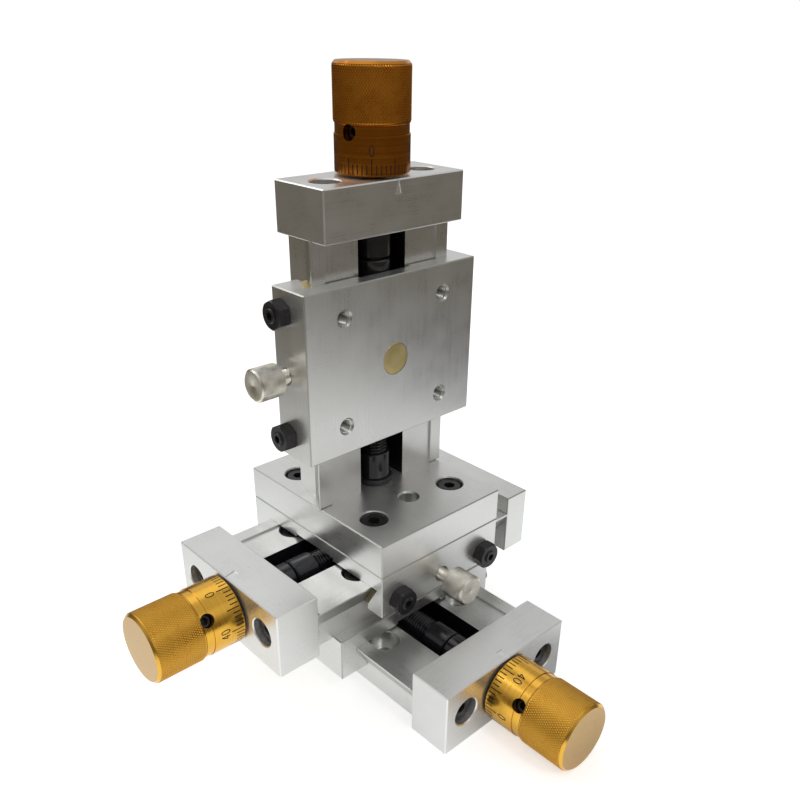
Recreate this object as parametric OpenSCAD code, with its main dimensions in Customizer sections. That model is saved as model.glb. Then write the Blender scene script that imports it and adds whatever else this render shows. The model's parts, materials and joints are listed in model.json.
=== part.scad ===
// Three dovetail slide units stacked as X, Y and Z.
// Each unit is drawn in its own frame: X runs along the travel towards the knob,
// Y runs across the rail towards the gib, Z points out of the carriage's face,
// and the origin is the middle of the rail's underside.
// The origin of the whole stack is the middle of the X rail's underside.

/* [Rail] */
// Length of each rail
rail_len = 75; // [65:1:100]
// Width of the rail over the dovetail
rail_w = 48; // [40:1:56]
// Height of the rail
rail_h = 14; // [12:0.5:20]
// Height of the dovetail flanks
dove_h = 7; // [5:0.1:7.4]
// Angle of the flanks from the base
dove_angle = 60; // [50:1:70]
// Width of each land on top of the dovetail
land_w = 4.5; // [2:0.5:5]
// Depth of the recess between the lands
recess_d = 0.6; // [0.3:0.1:1]
// Width of the channel for the lead screw
channel_w = 16.5; // [14:0.5:18]
// Depth of the channel below the lands
channel_d = 10; // [9.2:0.1:11]
// Height of the flat along the tip of the flanks
edge_break = 0.5; // [0.1:0.1:0.8]

/* [Carriage] */
// Distance of the carriage's ends inside the edges of the rail that it carries
car_set_in = 0.8; // [0:0.1:2]
// Width of the carriage past the rail at each side
arm_w = 6; // [5.8:0.1:10]
// Thickness of the web over the rail
car_web = 5; // [4:0.5:8]
// Depth of the arms below the web
car_arm = 8.4; // [7.6:0.1:9]
// Depth of the relief in the web's underside, over the channel
web_groove = 1; // [0.6:0.1:1.5]
// Width of that relief
relief_w = 17.6; // [17.6:0.2:20]
// Running gap at each sliding face
slide_gap = 0.05; // [0.03:0.01:0.1]
// Gap between the arms' lips and the rail's neck
lip_gap = 0.3; // [0.2:0.1:0.6]
// Chamfer on the edges of rails, carriages, blocks and plate
edge_c = 0.3; // [0.2:0.1:0.8]

/* [Fixing pattern] */
// Hole spacing across the carriage, and along the rail
pat_across = 35; // [32:1:36]
// Distance of the mounting holes from the long edges of a rail
pat_in = 9; // [7.5:0.5:10]
// Diameter of the tapped holes and of the screws
thread_d = 4; // [3:0.5:4.5]
// Radial gap between a screw and its tapped hole
thread_play = 0.05; // [0.02:0.01:0.1]
// Chamfer at the mouth of a tapped hole
tap_c = 0.5; // [0.2:0.1:0.8]

/* [Cap screws] */
// Diameter of the clearance holes
clear_d = 4.5; // [4.3:0.1:5]
// Diameter of a screw's head
head_d = 7; // [6:0.5:7.5]
// Height of a screw's head
head_h = 4; // [3:0.5:4.2]
// Diameter of the counterbores
cbore_d = 8; // [7.8:0.1:8.4]
// Depth of the counterbores
cbore_h = 4.6; // [4.3:0.1:5]
// Depth of the counterbores in the end blocks
end_cbore_h = 6; // [4.3:0.1:7]
// Width across flats of the hexagon socket
hex_af = 3; // [2.5:0.5:3.5]
// Depth of the hexagon socket
hex_h = 2; // [1.5:0.5:2.5]
// Length of thread that holds in the web of a carriage
web_bite = 3.5; // [2:0.5:3.8]
// Length of thread that holds in the end of a rail
end_bite = 7.5; // [5:0.5:9]
// Distance of the two screws in a rail's end from its long edges
end_screw_in = 8; // [6.5:0.5:9]
// Drop of the end screws below the lands
end_screw_drop = 3.5; // [3.2:0.1:4]

/* [End blocks] */
// Distance of the blocks' sides inside the edges of the rail
block_set_in = 0.5; // [0:0.1:1.5]
// Thickness of the block on the knob's side
block_t = 13; // [10:0.5:16]
// Thickness of the block at the far end
far_t = 9; // [7.5:0.5:12]
// Rise of both blocks above the lands
block_rise = 5.5; // [4:0.5:8]
// Length of the index mark
mark_len = 3.6; // [2:0.2:5]
// Width of the index mark at its foot
mark_w = 2.2; // [1:0.2:3]
// Depth of the index mark
mark_d = 0.2; // [0.1:0.05:0.4]

/* [Lead screw] */
// Drop of the lead screw's axis below the lands
axis_drop = 4.25; // [4.2:0.05:4.6]
// Diameter of the thread
lead_d = 8; // [6:0.5:8.5]
// Diameter of the journal under the knob and in the bearing
journal_d = 6; // [4:0.5:6.2]
// Diameter of the journal at the far end
tail_d = 5; // [3:0.5:5.5]
// Running gap on the radius of journals and thread
fit_play = 0.03; // [0.02:0.01:0.06]
// Outer diameter of the bearing in the end block
bearing_d = 10; // [8.5:0.5:11]
// Outer diameter of the far bush
far_bush_d = 8; // [7:0.5:9]
// Depth of the far bush in its seat
far_bush_h = 6.5; // [4:0.5:7]
// Gap between the far bush's flange and the channel's floor
flange_gap = 0.15; // [0.1:0.05:0.6]
// Thickness of the far bush's flange
flange_t = 1.6; // [1:0.1:1.7]
// Diameter of the thrust collars
collar_d = 9.4; // [8:0.1:9.6]
// Length of each thrust collar
collar_t = 7.4; // [3:0.1:8]
// Gap between the two thrust collars
collar_gap = 0.5; // [0.3:0.1:1]
// Length of the plain shoulder at the far end of the thread
shoulder_len = 8; // [5:0.5:8.5]
// End play between the collars and the end block
end_play = 0.15; // [0.1:0.05:0.3]

/* [Nut] */
// Diameter of the nut's body in the channel
nut_d = 13; // [11:0.5:13.5]
// Diameter of the nut's spigot in the web
spigot_d = 9; // [7:0.5:10]
// Depth of the spigot below the carriage's face
spigot_sink = 0.1; // [0.05:0.05:0.3]
// Gap under the nut, to the channel's floor
nut_gap = 0.4; // [0.3:0.1:0.8]

/* [Gib and its screws] */
// Thickness of the gib, measured level
gib_t = 2; // [1.6:0.1:3]
// Distance of the gib's ends inside the carriage's ends
gib_inset = 0.2; // [0.1:0.1:1]
// Gap above and below the gib
gib_end_gap = 0.5; // [0.2:0.1:0.6]
// Depth of the side screws below the carriage's face
side_drop = 9.2; // [7.5:0.1:9.4]
// Distance of each gib screw from the carriage's end
gib_screw_in = 6.3; // [5:0.1:9]
// Diameter of the point of the side screws
point_d = 2.4; // [1.5:0.1:3]
// Length of the point of the side screws
point_h = 1; // [0.5:0.1:1.5]
// Width across flats of the hexagon nuts
nut_af = 7; // [6.5:0.5:8]
// Thickness of the hexagon nuts
nut_t = 3.5; // [2.5:0.1:4]
// Length of a gib screw that stands out of its nut
tail_out = 0.5; // [0.3:0.1:1.5]

/* [Lock screw] */
// Length of the bare neck of the X lock screw
x_neck = 4; // [2:0.1:6]
// Length of the bare neck of the Y lock screw
y_neck = 4; // [2:0.1:6]
// Length of the bare neck of the Z lock screw
z_neck = 2.6; // [2:0.1:6]
// Diameter of the knurled head
lock_d = 8.9; // [7:0.1:9.4]
// Length of the knurled head
lock_len = 7.5; // [5:0.5:9]
// Chamfer on the ends of the knurled head
lock_c = 0.5; // [0.2:0.1:0.8]

/* [Knob] */
// Gap between the end block and the knob
knob_gap = 0.6; // [0.3:0.1:1]
// Diameter of the graduated sleeve
dial_d = 19.2; // [17:0.1:19.4]
// Length of the graduated sleeve
dial_len = 9.2; // [8:0.1:11]
// Diameter of the groove behind the grip
groove_d = 18.7; // [16:0.1:18.8]
// Width of the groove
groove_w = 2.3; // [1.5:0.1:3]
// Diameter of the grip at the foot of its knurl
grip_d = 19.1; // [18:0.1:19.4]
// Length of the knurled grip
grip_len = 14; // [11:0.5:18]
// Chamfer on the grip's ends
grip_c = 0.6; // [0.3:0.1:1.2]
// Depth of the knob's bore
bore_h = 14; // [12:0.5:18]
// Diameter of the knob's set screw
grub_d = 3.8; // [2.5:0.1:4]
// Depth of the set screw below the sleeve
grub_sink = 2.4; // [0.8:0.1:3]
// Distance of the set screw's axis past the end of the sleeve
grub_past = 0.8; // [0:0.1:1]

/* [Plate] */
// Thickness of the plate on the Y carriage
plate_t = 10; // [8.5:0.5:14]
// Diameter of the plain locating hole
pin_hole_d = 5.5; // [4:0.5:6]
// Depth of the locating hole
pin_hole_h = 4.5; // [3:0.5:6]
// Chamfer at the mouth of the locating hole
pin_c = 0.5; // [0.2:0.1:1]
// Distance of the locating hole from the plate's front edge
pin_hole_in = 15; // [11:0.5:17]
// Distance of the Z rail's lands from the plate's front edge
z_set_in = 26; // [24:0.5:28]

/* [Positions] */
// X carriage from the middle of its rail
x_pos = -7.9; // [-12.5:0.1:12.5]
// Y carriage from the middle of its rail, towards the knob
y_pos = -3.7; // [-12.5:0.1:12.5]
// Z carriage from the middle of its rail
z_pos = 3.4; // [-12.5:0.1:12.5]
// X carriage across its rail
x_across = 0.8; // [-2:0.1:2]
// Y carriage across its rail
y_across = -1.8; // [-2:0.1:2]
// Z rail beside the middle of the plate
z_across = 0.5; // [-1:0.1:1]
// Angle of the X knob's set screw
x_turn = 57; // [0:1:360]
// Angle of the Y knob's set screw
y_turn = 305; // [0:1:360]
// Angle of the Z knob's set screw
z_turn = 282; // [0:1:360]

/* [Hidden] */
$fn = 64;
// Overlap of cutting tools past the faces they cut
cut = 1;
// Broken edges of small turned parts, and of threads and collars
fine_c = 0.3;
turn_c = 0.4;
// Gap at the bottom of a blind seat
seat_gap = 0.1;
// Gap behind the ends of the lead screw
end_gap = 0.5;
// Gap where two faces almost touch
touch_gap = 0.02;
unit_h = rail_h + car_web;
block_h = rail_h + block_rise;
axis_z = rail_h - axis_drop;
half_w = rail_w / 2;
half_len = rail_len / 2;
block_w = rail_w - 2 * block_set_in;
// The rail that a carriage carries lies across it, so its width sets the carriage's length
car_len = rail_w - 2 * car_set_in;
car_w = rail_w + 2 * arm_w;
pat_along = rail_w - 2 * pat_in;
end_screw_y = half_w - end_screw_in;
gib_screw_x = car_len / 2 - gib_screw_in;
// Level shift of a flank for each unit of height
lean = 1 / tan(dove_angle);
neck = half_w - dove_h * lean;
lip = neck + lip_gap;
floor_z = rail_h - channel_d;
recess_z = rail_h - recess_d;
// Level gap that leaves slide_gap square to a flank
flank_gap = slide_gap / sin(dove_angle);
web_z = rail_h + slide_gap;
groove_z = web_z + web_groove;
arm_z = rail_h - car_arm;
side_z = unit_h - side_drop;
end_screw_z = rail_h - end_screw_drop;
tap_r = thread_d / 2;
screw_r = tap_r - thread_play;
// Space that the gib and its two gaps take, measured level
gib_room = gib_t + 2 * flank_gap;
// Tip of the side screws: clear of the gib at the top of the screw's point
tip_y = half_w + gib_room - (rail_h - side_z - point_d / 2) * lean;
flange_r = channel_d - axis_drop - flange_gap;
collar_out = half_len - end_play;
lead_out = collar_out - 2 * collar_t - collar_gap - end_play;
lead_in = -half_len + flange_t + end_play;
knob_x = half_len + block_t + knob_gap;
grub_x = knob_x + dial_len + grub_past;

// Place of each unit in the stack
y_rail_x = x_pos;
y_rail_y = x_across;
y_rail_z = unit_h;
plate_x = y_rail_x + y_across;
plate_y = y_rail_y - y_pos;
plate_z = y_rail_z + unit_h;
plate_top = plate_z + plate_t;
z_rail_y = plate_y + z_across;
z_back_x = plate_x + car_w / 2 - z_set_in - rail_h;
z_rail_z = plate_top + half_len;

alu = [0.80, 0.81, 0.81];
black = [0.09, 0.09, 0.10];
gold = [0.80, 0.58, 0.20];
brass = [0.72, 0.60, 0.30];
nickel = [0.74, 0.71, 0.66];
bronze = [0.62, 0.45, 0.27];

// Turn a shape that points along Z so that it points along X, against X or along Y
module to_x() { rotate([0, 90, 0]) children(); }
module to_minus_x() { rotate([0, -90, 0]) children(); }
module to_y() { rotate([-90, 0, 0]) children(); }

// Stand each unit in its place in the stack
module on_x() { children(); }
module on_y() { translate([y_rail_x, y_rail_y, y_rail_z]) rotate([0, 0, -90]) children(); }
module on_z() { translate([z_back_x, z_rail_y, z_rail_z]) rotate([180, -90, 0]) children(); }

// A profile in Y and Z, carried along X over the length given, about the origin
module along_x(len) {
    rotate([90, 0, 90]) linear_extrude(len, center = true) children();
}

// Rectangle with cut corners, about the origin
module cut_rect(a, b, c) {
    polygon([
        [-a / 2 + c, -b / 2], [a / 2 - c, -b / 2], [a / 2, -b / 2 + c], [a / 2, b / 2 - c],
        [a / 2 - c, b / 2], [-a / 2 + c, b / 2], [-a / 2, b / 2 - c], [-a / 2, -b / 2 + c]
    ]);
}

// Block with all its edges chamfered, standing on Z = 0 about the origin
module slab(lx, ly, lz, c = edge_c) {
    translate([0, 0, lz / 2])
        intersection() {
            linear_extrude(lz, center = true) cut_rect(lx, ly, c);
            along_x(lx) cut_rect(ly, lz, c);
            rotate([90, 0, 0]) linear_extrude(ly, center = true) cut_rect(lx, lz, c);
        }
}

// Round bar along Z from 0, with chamfers c at both ends
module bar(r, h, c) {
    rotate_extrude()
        polygon([[0, 0], [r - c, 0], [r, c], [r, h - c], [r - c, h], [0, h]]);
}

// Ring along Z from 0, with chamfered outer edges
module ring(r, bore_r, h, c) {
    rotate_extrude()
        polygon([[bore_r, 0], [r - c, 0], [r, c], [r, h - c], [r - c, h], [bore_r, h]]);
}

// Hexagon socket that opens upwards at Z = 0
module hex_socket(af, h) {
    translate([0, 0, -h]) cylinder(h = h + cut, d = af / cos(30), $fn = 6);
}

// Cap screw with the underside of its head at Z = 0 and its shank below
module cap_screw(len) {
    difference() {
        union() {
            bar(head_d / 2, head_h, fine_c);
            translate([0, 0, -len]) bar(screw_r, len + cut, turn_c);
        }
        translate([0, 0, head_h]) hex_socket(hex_af, hex_h);
    }
}

// Counterbore that opens upwards at Z = 0, with its clearance hole down to -len
module cap_hole(len, depth = cbore_h) {
    translate([0, 0, -depth]) cylinder(h = depth + cut, d = cbore_d);
    translate([0, 0, -fine_c])
        cylinder(h = 2 * fine_c, d1 = cbore_d, d2 = cbore_d + 4 * fine_c);
    translate([0, 0, -len]) cylinder(h = len, d = clear_d);
}

// Tapped hole that opens upwards at Z = 0
module tap(len) {
    translate([0, 0, -len]) cylinder(h = len + cut, r = tap_r);
    translate([0, 0, -tap_c]) cylinder(h = 2 * tap_c, r1 = tap_r, r2 = tap_r + 2 * tap_c);
}

// Children at the four corners of a rectangle
module corners(lx, ly) {
    for (i = [-1, 1])
        for (j = [-1, 1])
            translate([i * lx / 2, j * ly / 2, 0]) children();
}

// Children at the two screws in a rail's end
module end_pair() {
    for (j = [-1, 1])
        translate([0, j * end_screw_y, end_screw_z]) children();
}

// Cross-section of the rail
module rail_profile() {
    rec = half_w - land_w;
    ch = channel_w / 2;
    tip = half_w - edge_break * lean;
    difference() {
        polygon([
            [-neck, 0], [neck, 0], [neck, rail_h - dove_h], [tip, rail_h - edge_break],
            [tip, rail_h], [-tip, rail_h], [-tip, rail_h - edge_break], [-neck, rail_h - dove_h]
        ]);
        translate([-rec, recess_z]) square([2 * rec, recess_d + cut]);
        translate([-ch, floor_z]) square([2 * ch, channel_d + cut]);
    }
}

// Dovetail rail with its mounting holes and the taps in its ends
module rail() {
    color(alu)
        difference() {
            intersection() {
                along_x(rail_len) rail_profile();
                slab(rail_len, rail_w + 2 * edge_c, rail_h);
            }
            corners(pat_across, pat_along)
                translate([0, 0, recess_z]) cap_hole(rail_h + cut);
            translate([half_len, 0, 0]) end_pair() to_x() tap(end_bite + cut);
            translate([-half_len, 0, 0]) end_pair() to_minus_x() tap(end_bite + cut);
        }
}

// Block on the knob's side, with the bearing's bore and the index mark
module end_block() {
    color(alu)
        translate([half_len, 0, 0])
            difference() {
                translate([block_t / 2, 0, 0]) slab(block_t, block_w, block_h);
                translate([-cut, 0, axis_z]) to_x() cylinder(h = block_t + 2 * cut, d = bearing_d);
                translate([block_t, 0, 0]) end_pair() to_x() cap_hole(block_t + cut, end_cbore_h);
                translate([block_t, 0, block_h - mark_d])
                    linear_extrude(mark_d + cut)
                        polygon([[cut, 0], [-mark_len, -mark_w / 2], [-mark_len, mark_w / 2]]);
            }
}

// Block at the rail's other end, with a blind seat for the far bush
module far_block() {
    color(alu)
        translate([-half_len, 0, 0])
            difference() {
                translate([-far_t / 2, 0, 0]) slab(far_t, block_w, block_h);
                translate([-far_bush_h, 0, axis_z])
                    to_x() cylinder(h = far_bush_h + cut, d = far_bush_d);
                translate([-far_t, 0, 0]) end_pair() to_minus_x() cap_hole(far_t + cut);
            }
}

// Two cap screws through the end block into the rail
module end_screws() {
    color(black)
        translate([half_len + block_t - end_cbore_h, 0, 0])
            end_pair() to_x() cap_screw(block_t - end_cbore_h + end_bite);
}

// Two cap screws through the far block into the rail
module far_screws() {
    color(black)
        translate([-half_len - far_t + cbore_h, 0, 0])
            end_pair() to_minus_x() cap_screw(far_t - cbore_h + end_bite);
}

// Plain bearing in the end block
module bearing() {
    color(bronze)
        translate([half_len, 0, axis_z])
            to_x() ring(bearing_d / 2 - fit_play, journal_d / 2 + fit_play, block_t, fine_c);
}

// Flanged bush for the lead screw's far journal
module far_bush() {
    color(black)
        translate([-half_len, 0, axis_z])
            to_x()
                difference() {
                    union() {
                        translate([0, 0, -far_bush_h + seat_gap])
                            cylinder(h = far_bush_h, d = far_bush_d - 2 * fit_play);
                        bar(flange_r, flange_t, fine_c);
                    }
                    translate([0, 0, -far_bush_h])
                        cylinder(h = far_bush_h + flange_t + cut, r = tail_d / 2 + fit_play);
                }
}

// Lead screw with a plain shoulder at its far end and a journal at each end
module lead_screw() {
    color(black)
        translate([0, 0, axis_z]) {
            translate([lead_in, 0, 0]) to_x() bar(lead_d / 2, lead_out - lead_in, turn_c);
            translate([lead_in, 0, 0]) to_x() bar(collar_d / 2, shoulder_len, turn_c);
            translate([-half_len - far_bush_h + end_gap, 0, 0])
                to_x() bar(tail_d / 2, lead_in + half_len + far_bush_h, fine_c);
            translate([lead_out - cut, 0, 0])
                to_x() bar(journal_d / 2, knob_x + bore_h - end_gap - lead_out + cut, fine_c);
        }
}

// Two thrust collars on the lead screw, inside the end block
module collars() {
    color(black)
        translate([collar_out, 0, axis_z])
            to_minus_x()
                for (i = [0, 1])
                    translate([0, 0, i * (collar_t + collar_gap)])
                        ring(collar_d / 2, journal_d / 2 + fit_play, collar_t, turn_c);
}

// Knob: graduated sleeve, groove and knurled grip, with the set screw's hole at the angle given
module knob(turn) {
    grip_x = dial_len + groove_w;
    color(gold)
        translate([knob_x, 0, axis_z])
            difference() {
                to_x()
                    rotate_extrude()
                        polygon([
                            [0, 0], [dial_d / 2 - fine_c, 0], [dial_d / 2, fine_c],
                            [dial_d / 2, dial_len], [groove_d / 2, dial_len],
                            [groove_d / 2, grip_x], [grip_d / 2 - grip_c / 2, grip_x],
                            [grip_d / 2, grip_x + grip_c / 2],
                            [grip_d / 2, grip_x + grip_len - grip_c],
                            [grip_d / 2 - grip_c, grip_x + grip_len], [0, grip_x + grip_len]
                        ]);
                translate([-cut, 0, 0])
                    to_x() cylinder(h = bore_h + cut, r = journal_d / 2 + fit_play);
                rotate([turn, 0, 0])
                    translate([grub_x - knob_x, 0, 0]) cylinder(h = dial_d, d = grub_d);
            }
}

// Set screw of the knob, at the angle given
module knob_screw(turn) {
    foot = journal_d / 2 + seat_gap;
    top = dial_d / 2 - grub_sink;
    color(black)
        translate([grub_x, 0, axis_z])
            rotate([turn, 0, 0])
                difference() {
                    translate([0, 0, foot]) bar(grub_d / 2 - thread_play, top - foot, fine_c);
                    translate([0, 0, top]) hex_socket(grub_d / 2, grub_d / 2);
                }
}

// Inside of the carriage: the room for the dovetail and the gib, open below
module slide_profile() {
    left = half_w + flank_gap;
    right = half_w + gib_room;
    // Height at which each flank meets the upright face of its lip
    lip_z = rail_h - (left - lip) / lean;
    low = -cut;
    polygon([
        [-lip, low], [lip + gib_room - flank_gap, low],
        [lip + gib_room - flank_gap, lip_z],
        [right + (web_z - rail_h) * lean, web_z],
        [-left - (web_z - rail_h) * lean, web_z],
        [-lip, lip_z]
    ]);
}

// Carriage at a place along its rail and across it
module carriage(pos, across) {
    color(alu)
        translate([pos, 0, 0])
            difference() {
                translate([0, across, arm_z]) slab(car_len, car_w, car_web + car_arm);
                along_x(car_len + 2 * cut) slide_profile();
                translate([-car_len / 2 - cut, across - relief_w / 2, web_z - cut])
                    cube([car_len + 2 * cut, relief_w, web_groove + cut]);
                translate([0, across, unit_h])
                    corners(pat_along, pat_across) tap(unit_h - web_z + cut);
                translate([0, 0, web_z]) cylinder(h = car_web + cut, d = spigot_d);
                for (x = [-gib_screw_x, 0, gib_screw_x])
                    translate([x, across + car_w / 2, side_z])
                        to_y() tap(across + car_w / 2 - half_w + dove_h);
            }
}

// Brass nut: round body in the channel, spigot in the web, threaded bore across
module nut(pos) {
    color(brass)
        translate([pos, 0, 0])
            difference() {
                union() {
                    translate([0, 0, floor_z + nut_gap])
                        bar(nut_d / 2, groove_z - floor_z - nut_gap - touch_gap, fine_c);
                    translate([0, 0, groove_z - cut])
                        bar(spigot_d / 2 - fit_play, unit_h - spigot_sink - groove_z + cut, fine_c / 2);
                }
                translate([-nut_d, 0, axis_z])
                    to_x() cylinder(h = 2 * nut_d, r = lead_d / 2 + fit_play);
            }
}

// Gib strip between the rail's flank and the arm
module gib(pos) {
    top = rail_h - gib_end_gap;
    low = rail_h - dove_h + gib_end_gap;
    inner = half_w + flank_gap;
    color(brass)
        translate([pos, 0, 0])
            along_x(car_len - 2 * gib_inset)
                polygon([
                    [inner - (rail_h - low) * lean, low],
                    [inner + gib_t - (rail_h - low) * lean, low],
                    [inner + gib_t - (rail_h - top) * lean, top],
                    [inner - (rail_h - top) * lean, top]
                ]);
}

// Shank of a side screw along Z, from its point at 0 to the length given
module side_shank(len) {
    rotate_extrude()
        polygon([
            [0, 0], [point_d / 2, 0], [point_d / 2, point_h],
            [screw_r, point_h + screw_r - point_d / 2], [screw_r, len - fine_c],
            [screw_r - fine_c, len], [0, len]
        ]);
}

// Two set screws that press the gib
module gib_screws(pos, across) {
    len = across + car_w / 2 + nut_t + tail_out - tip_y;
    color(black)
        for (x = [-gib_screw_x, gib_screw_x])
            translate([pos + x, tip_y, side_z])
                to_y()
                    difference() {
                        side_shank(len);
                        translate([0, 0, len]) hex_socket(tap_r, tap_r);
                    }
}

// Hexagon nuts that lock the gib screws, with rounded-off corners
module gib_nuts(pos, across) {
    corner = nut_af / cos(30) / 2;
    color(black)
        for (x = [-gib_screw_x, gib_screw_x])
            translate([pos + x, across + car_w / 2, side_z])
                to_y()
                    difference() {
                        intersection() {
                            cylinder(h = nut_t, r = corner, $fn = 6);
                            bar(corner, nut_t, corner - nut_af / 2 - touch_gap);
                        }
                        translate([0, 0, -cut]) cylinder(h = nut_t + 2 * cut, r = tap_r);
                    }
}

// Knurled thumb screw that locks the slide, with its bare neck of the length given
module lock_screw(pos, across, neck_len) {
    head = across + car_w / 2 + neck_len - tip_y;
    color(nickel)
        translate([pos, tip_y, side_z])
            to_y() {
                side_shank(head + cut);
                translate([0, 0, head]) bar(lock_d / 2, lock_len, lock_c);
            }
}

// Four cap screws through a rail into the carriage below it
module rail_screws() {
    color(black)
        corners(pat_across, pat_along)
            translate([0, 0, recess_z - cbore_h]) cap_screw(recess_z - cbore_h + web_bite);
}

// Plate on the Y carriage, with the Z rail's seat, drawn about its own middle
module plate_body() {
    seat_x = z_back_x - plate_x;
    color(alu)
        translate([plate_x, plate_y, plate_z])
            difference() {
                slab(car_w, car_len, plate_t);
                translate([0, 0, plate_t]) corners(pat_across, pat_along) cap_hole(plate_t + cut);
                translate([car_w / 2 - pin_hole_in, z_across, plate_t]) {
                    translate([0, 0, -pin_hole_h]) cylinder(h = pin_hole_h + cut, d = pin_hole_d);
                    translate([0, 0, -pin_c])
                        cylinder(h = 2 * pin_c, d1 = pin_hole_d, d2 = pin_hole_d + 4 * pin_c);
                }
                translate([seat_x + axis_z, z_across, plate_t - far_bush_h])
                    cylinder(h = far_bush_h + cut, d = far_bush_d);
                for (j = [-1, 1])
                    translate([seat_x + end_screw_z, z_across + j * end_screw_y, 0])
                        rotate([180, 0, 0]) cap_hole(plate_t + cut);
            }
}

// Four cap screws that hold the plate on the Y carriage
module plate_bolts() {
    color(black)
        translate([plate_x, plate_y, plate_top - cbore_h])
            corners(pat_across, pat_along) cap_screw(plate_t - cbore_h + web_bite);
}

// Two cap screws from below, through the plate into the Z rail
module foot_screws() {
    color(black)
        translate([-half_len - plate_t + cbore_h, 0, 0])
            end_pair() to_minus_x() cap_screw(plate_t - cbore_h + end_bite);
}

module x_rail() { on_x() rail(); }
module x_end_block() { on_x() end_block(); }
module x_end_screws() { on_x() end_screws(); }
module x_far_block() { on_x() far_block(); }
module x_far_screws() { on_x() far_screws(); }
module x_bearing() { on_x() bearing(); }
module x_far_bush() { on_x() far_bush(); }
module x_lead_screw() { on_x() lead_screw(); }
module x_collars() { on_x() collars(); }
module x_knob() { on_x() knob(x_turn); }
module x_knob_screw() { on_x() knob_screw(x_turn); }
module x_carriage() { on_x() carriage(x_pos, x_across); }
module x_nut() { on_x() nut(x_pos); }
module x_gib() { on_x() gib(x_pos); }
module x_gib_screws() { on_x() gib_screws(x_pos, x_across); }
module x_gib_nuts() { on_x() gib_nuts(x_pos, x_across); }
module x_lock_screw() { on_x() lock_screw(x_pos, x_across, x_neck); }

module y_rail() { on_y() rail(); }
module y_rail_screws() { on_y() rail_screws(); }
module y_end_block() { on_y() end_block(); }
module y_end_screws() { on_y() end_screws(); }
module y_far_block() { on_y() far_block(); }
module y_far_screws() { on_y() far_screws(); }
module y_bearing() { on_y() bearing(); }
module y_far_bush() { on_y() far_bush(); }
module y_lead_screw() { on_y() lead_screw(); }
module y_collars() { on_y() collars(); }
module y_knob() { on_y() knob(y_turn); }
module y_knob_screw() { on_y() knob_screw(y_turn); }
module y_carriage() { on_y() carriage(y_pos, y_across); }
module y_nut() { on_y() nut(y_pos); }
module y_gib() { on_y() gib(y_pos); }
module y_gib_screws() { on_y() gib_screws(y_pos, y_across); }
module y_gib_nuts() { on_y() gib_nuts(y_pos, y_across); }
module y_lock_screw() { on_y() lock_screw(y_pos, y_across, y_neck); }

module plate() { plate_body(); }
module plate_screws() { plate_bolts(); }

module z_rail() { on_z() rail(); }
module z_foot_screws() { on_z() foot_screws(); }
module z_end_block() { on_z() end_block(); }
module z_end_screws() { on_z() end_screws(); }
module z_bearing() { on_z() bearing(); }
module z_far_bush() { on_z() far_bush(); }
module z_lead_screw() { on_z() lead_screw(); }
module z_collars() { on_z() collars(); }
module z_knob() { on_z() knob(z_turn); }
module z_knob_screw() { on_z() knob_screw(z_turn); }
module z_carriage() { on_z() carriage(z_pos, 0); }
module z_nut() { on_z() nut(z_pos); }
module z_gib() { on_z() gib(z_pos); }
module z_gib_screws() { on_z() gib_screws(z_pos, 0); }
module z_gib_nuts() { on_z() gib_nuts(z_pos, 0); }
module z_lock_screw() { on_z() lock_screw(z_pos, 0, z_neck); }

x_rail();
x_end_block();
x_end_screws();
x_far_block();
x_far_screws();
x_bearing();
x_far_bush();
x_lead_screw();
x_collars();
x_knob();
x_knob_screw();
x_carriage();
x_nut();
x_gib();
x_gib_screws();
x_gib_nuts();
x_lock_screw();
y_rail();
y_rail_screws();
y_end_block();
y_end_screws();
y_far_block();
y_far_screws();
y_bearing();
y_far_bush();
y_lead_screw();
y_collars();
y_knob();
y_knob_screw();
y_carriage();
y_nut();
y_gib();
y_gib_screws();
y_gib_nuts();
y_lock_screw();
plate();
plate_screws();
z_rail();
z_foot_screws();
z_end_block();
z_end_screws();
z_bearing();
z_far_bush();
z_lead_screw();
z_collars();
z_knob();
z_knob_screw();
z_carriage();
z_nut();
z_gib();
z_gib_screws();
z_gib_nuts();
z_lock_screw();
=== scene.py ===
# Looks of the three-axis dovetail slide stack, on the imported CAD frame. The values of the camera and the
# pieces are in millimetres, and those of the floor, the lights and the room in metres.
import json
import math

import bpy
import numpy as np
from mathutils import Matrix, Vector


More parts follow.
